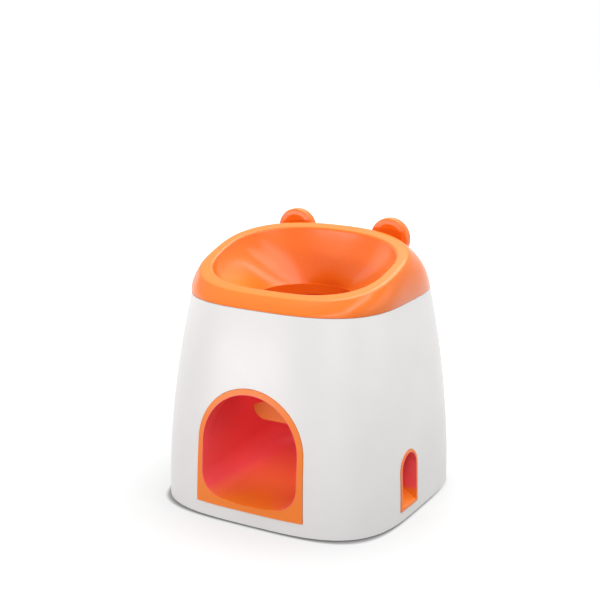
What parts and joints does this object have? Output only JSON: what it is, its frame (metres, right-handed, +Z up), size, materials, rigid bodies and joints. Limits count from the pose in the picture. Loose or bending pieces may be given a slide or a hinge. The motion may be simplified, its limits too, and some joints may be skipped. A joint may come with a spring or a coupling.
{
  "type": "dog ball dispenser",
  "caption": "Free-standing fetch-and-treat dispenser: a ball dropped in the top bowl rolls out of the front arch and turns a drum that drops treats at the side outlet.",
  "frame": {"origin": "middle of the footprint, on the surface it stands on", "axes": "+Z up; the ball rolls out of the front arch towards -Y; +X is the side with the treat outlet"},
  "size_m": [0.1878, 0.1715, 0.2044],
  "materials": {
    "shell": "fine satin moulded ABS, warm white",
    "lid": "semi-gloss moulded ABS, orange",
    "chute": "semi-gloss moulded ABS, orange",
    "base": "satin moulded ABS, warm white",
    "rubber": "soft black rubber",
    "steel": "bright drawn steel",
    "flap": "semi-gloss moulded ABS, orange",
    "bush": "natural acetal",
    "drum": "moulded grey acetal",
    "clear": "moulded polypropylene",
    "wiper": "soft rubber lip"
  },
  "bodies": {
    "housing": {"outer_shell": "shell", "ball_chute": "chute", "base_plate": "base", "rubber_feet": "rubber", "left_bush": "bush", "right_bush": "bush", "end_bush": "bush", "drum_casing": "clear", "treat_hopper": "clear", "kibble_wiper": "wiper", "treat_chute": "chute", "return_spring": "steel", "housing_screws": "steel", "chute_screws": "steel", "outlet_screws": "steel", "casing_screws": "steel", "hopper_screw": "steel"},
    "lid": {"top_bowl": "lid"},
    "rocker": {"trip_shaft": "steel", "trip_flap": "flap", "treat_drum": "drum", "spring_collar": "bush", "shaft_clips": "steel"}
  },
  "joints": [
    {"name": "lid_lift", "type": "slide", "parent": "housing", "child": "lid", "axis": [0, 0, 1], "range_m": [0, 0.06]},
    {"name": "flap_swing", "type": "hinge", "parent": "housing", "child": "rocker", "pos_m": [0, -0.041, 0.091], "axis": [-1, 0, 0], "range_deg": [0, 84], "stiffness_Nm_per_rad": 0.002, "springref_deg": -8.59, "deforming": ["return_spring"]}
  ]
}
